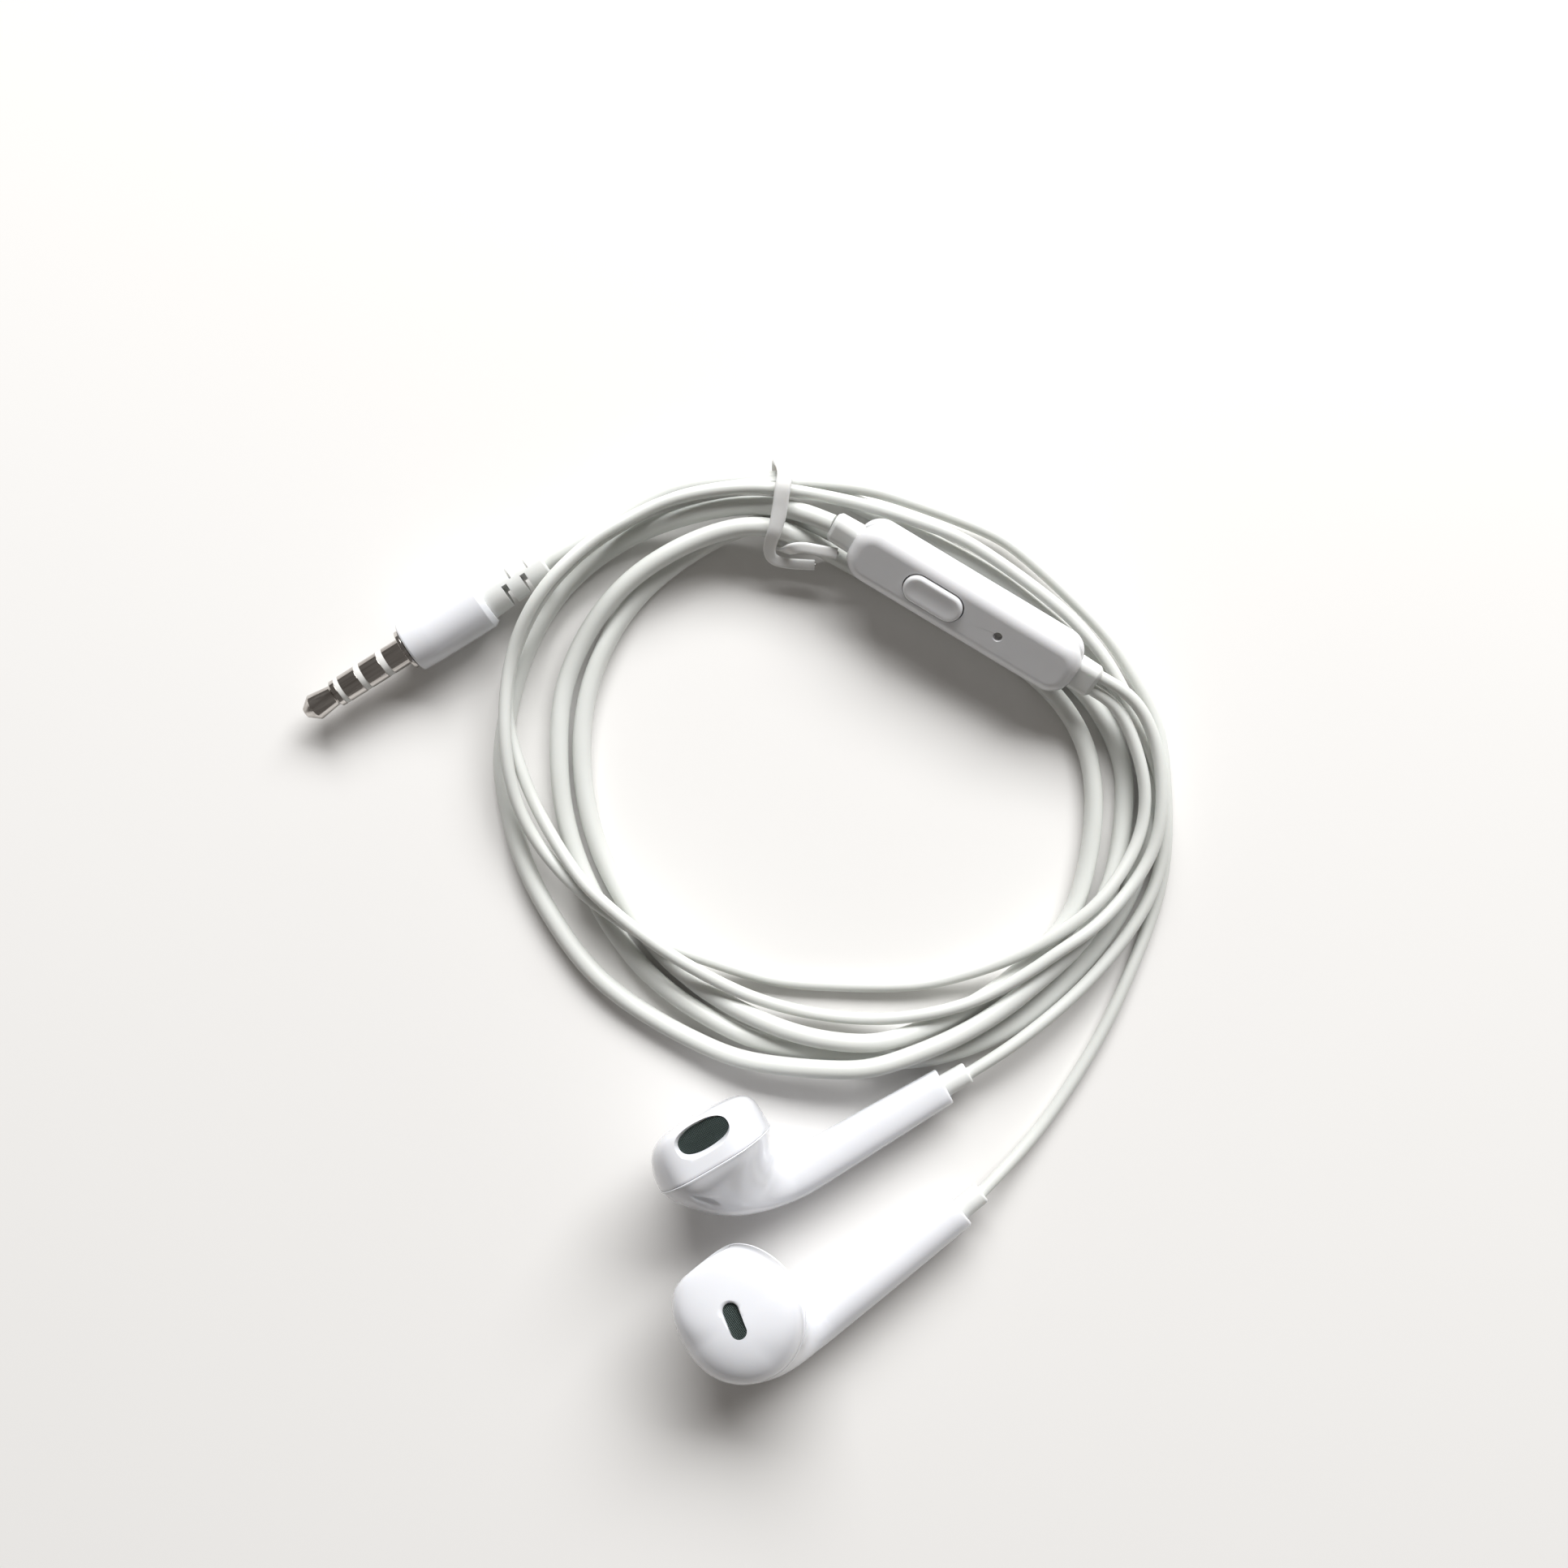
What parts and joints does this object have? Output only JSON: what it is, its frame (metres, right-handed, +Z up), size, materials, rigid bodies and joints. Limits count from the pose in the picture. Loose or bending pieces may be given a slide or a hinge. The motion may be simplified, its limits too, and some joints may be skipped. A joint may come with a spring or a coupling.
{
  "type": "wired earphones",
  "caption": "White wired earphones with an inline remote and a headphone plug, the cord wound in a loose coil and held by a wire tie.",
  "frame": {"origin": "on the surface the set lies on, under the middle of the box round the two earphones and the remote", "axes": "+Z up from the surface; +Y from the earphones towards the remote, the longer way; +X to the side the split cords bulge to, seen from above"},
  "size_m": [0.1085, 0.1126, 0.0166],
  "materials": {
    "shell_gloss_white": "polished, faintly blue white",
    "case_gloss_white": "polished white",
    "button_white": "polished white",
    "relief_white": "satin soft white",
    "cord_white": "satin, faintly grey-green white",
    "tie_white": "soft satin white over a thin wire",
    "acoustic_mesh": "fine dark woven mesh",
    "contact_metal": "polished plated contact",
    "insulator_white": "smooth white moulding",
    "black_plastic": "moulded black",
    "clear_film": "thin clear film with a copper coil",
    "magnet": "plated magnet",
    "steel": "plain satin",
    "green_board": "green lacquer"
  },
  "bodies": {
    "lead": {"cord_knot_left": "cord_white", "cord_knot_right": "cord_white", "cord_sleeve_left": "relief_white", "cord_sleeve_right": "relief_white", "driver_frame_left": "black_plastic", "driver_frame_right": "black_plastic", "driver_magnet_left": "magnet", "driver_magnet_right": "magnet", "driver_plate_left": "steel", "driver_plate_right": "steel", "driver_yoke_left": "steel", "driver_yoke_right": "steel", "front_shell_left": "shell_gloss_white", "front_shell_right": "shell_gloss_white", "left_cord": "cord_white", "main_cord": "cord_white", "plug_housing": "case_gloss_white", "plug_insulator": "insulator_white", "plug_relief": "relief_white", "plug_ring_1": "contact_metal", "plug_ring_2": "contact_metal", "plug_sleeve": "contact_metal", "plug_tip": "contact_metal", "port_mesh_left": "acoustic_mesh", "port_mesh_right": "acoustic_mesh", "rear_shell_left": "shell_gloss_white", "rear_shell_right": "shell_gloss_white", "remote_board": "green_board", "remote_case_bottom": "case_gloss_white", "remote_case_top": "case_gloss_white", "remote_cord_relief": "relief_white", "remote_microphone": "steel", "remote_snap_dome": "steel", "remote_split_relief": "relief_white", "remote_switch_body": "black_plastic", "right_cord": "cord_white", "twist_tie": "tie_white", "vent_mesh_left": "acoustic_mesh", "vent_mesh_right": "acoustic_mesh"},
    "button": {"remote_button": "button_white"},
    "left_diaphragm": {"driver_diaphragm_left": "clear_film"},
    "right_diaphragm": {"driver_diaphragm_right": "clear_film"}
  },
  "joints": [
    {"name": "button_press", "type": "slide", "parent": "lead", "child": "button", "axis": [0.303, 0.5039, -0.8089], "range_m": [0, 0.0003], "stiffness_N_per_m": 400},
    {"name": "left_diaphragm_slide", "type": "slide", "parent": "lead", "child": "left_diaphragm", "axis": [-0.1333, 0.2145, 0.9676], "range_m": [-0.00015, 0.00015], "stiffness_N_per_m": 60},
    {"name": "right_diaphragm_slide", "type": "slide", "parent": "lead", "child": "right_diaphragm", "axis": [-0.4993, 0.8649, -0.0519], "range_m": [-0.00015, 0.00015], "stiffness_N_per_m": 60}
  ]
}
